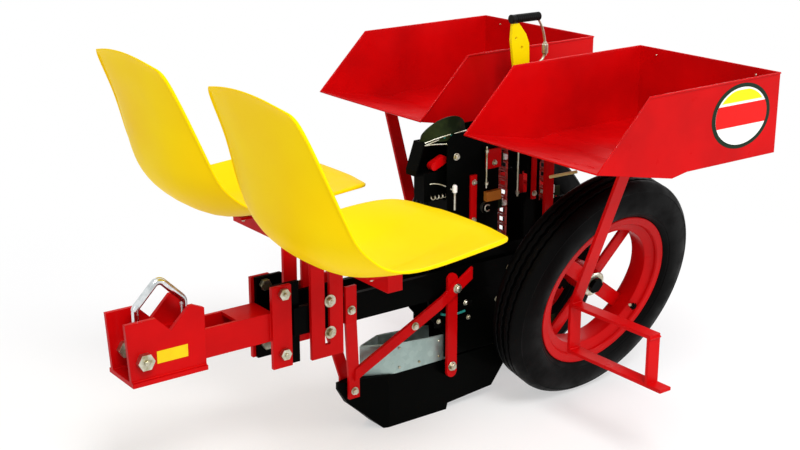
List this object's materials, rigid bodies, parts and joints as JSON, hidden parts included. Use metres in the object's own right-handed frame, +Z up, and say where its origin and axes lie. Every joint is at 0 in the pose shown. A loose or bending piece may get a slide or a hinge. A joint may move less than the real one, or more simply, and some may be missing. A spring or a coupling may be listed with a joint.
{
  "type": "bare root transplanter",
  "caption": "Row transplanter unit for a toolbar: furrow opener, planting chain, tilted press wheels, plant trays and operator seats facing the rear.",
  "frame": {"origin": "middle of the bounding box, on the floor under the shoe and the tyres", "axes": "+X forward to the toolbar, +Y to the machine's left, +Z up"},
  "size_m": [1.5153, 1.2, 0.964],
  "materials": {
    "black_grip": "moulded grip",
    "black_paint": "satin enamel",
    "chrome": "bright plated",
    "galvanised": "galvanised sheet",
    "link_steel": "oiled red-brown chain",
    "orange_paint": "orange enamel",
    "red_paint": "gloss enamel",
    "rubber": "dark green-black flap",
    "seat_plastic": "moulded, satin gloss",
    "tyre_rubber": "ribbed implement tyre",
    "white_plastic": "nylon",
    "yellow_paint": "gloss enamel",
    "zinc": "zinc plated"
  },
  "bodies": {
    "frame": {"axle_left": "black_paint", "axle_right": "black_paint", "drawbar": "red_paint", "ear_bolts": "zinc", "ear_plate_left": "red_paint", "ear_plate_right": "red_paint", "footrest_left": "red_paint", "footrest_right": "red_paint", "frame_front": "black_paint", "frame_rail_left": "black_paint", "frame_rail_right": "black_paint", "frame_rear": "black_paint", "front_strut_left": "red_paint", "front_strut_right": "red_paint", "guide_body": "black_paint", "guide_flap": "rubber", "guide_insert": "red_paint", "hitch_bolts": "zinc", "hitch_clamp": "red_paint", "holder_clips": "white_plastic", "holder_flaps": "rubber", "idler_shaft": "zinc", "lever": "yellow_paint", "lever_grip": "black_grip", "lever_tie": "zinc", "planting_chain": "link_steel", "rear_strut_left": "red_paint", "rear_strut_right": "red_paint", "red_bars_left": "red_paint", "red_bars_right": "red_paint", "seat_beam_left": "red_paint", "seat_beam_right": "red_paint", "seat_left": "seat_plastic", "seat_post_left": "red_paint", "seat_post_right": "red_paint", "seat_right": "seat_plastic", "shoe": "black_paint", "shroud": "galvanised", "side_plate_left": "black_paint", "side_plate_right": "black_paint", "sprockets": "black_paint", "stop_block": "orange_paint", "tray_frame_left": "red_paint", "tray_frame_right": "red_paint", "tray_left": "red_paint", "tray_right": "red_paint", "u_bolt": "chrome"},
    "wheel_left": {"hub_sprocket_left": "black_paint", "rim_left": "red_paint", "tyre_left": "tyre_rubber"},
    "wheel_right": {"hub_sprocket_right": "black_paint", "rim_right": "red_paint", "tyre_right": "tyre_rubber"}
  },
  "joints": [
    {"name": "wheel_left_spin", "type": "hinge", "parent": "frame", "child": "wheel_left", "pos_m": [-0.4607, 0.1715, 0.29855], "axis": [-0.0506, 0.9659, -0.2538], "continuous": true},
    {"name": "wheel_right_spin", "type": "hinge", "parent": "frame", "child": "wheel_right", "pos_m": [-0.4607, -0.1715, 0.29855], "axis": [-0.0506, -0.9659, -0.2538], "continuous": true}
  ]
}
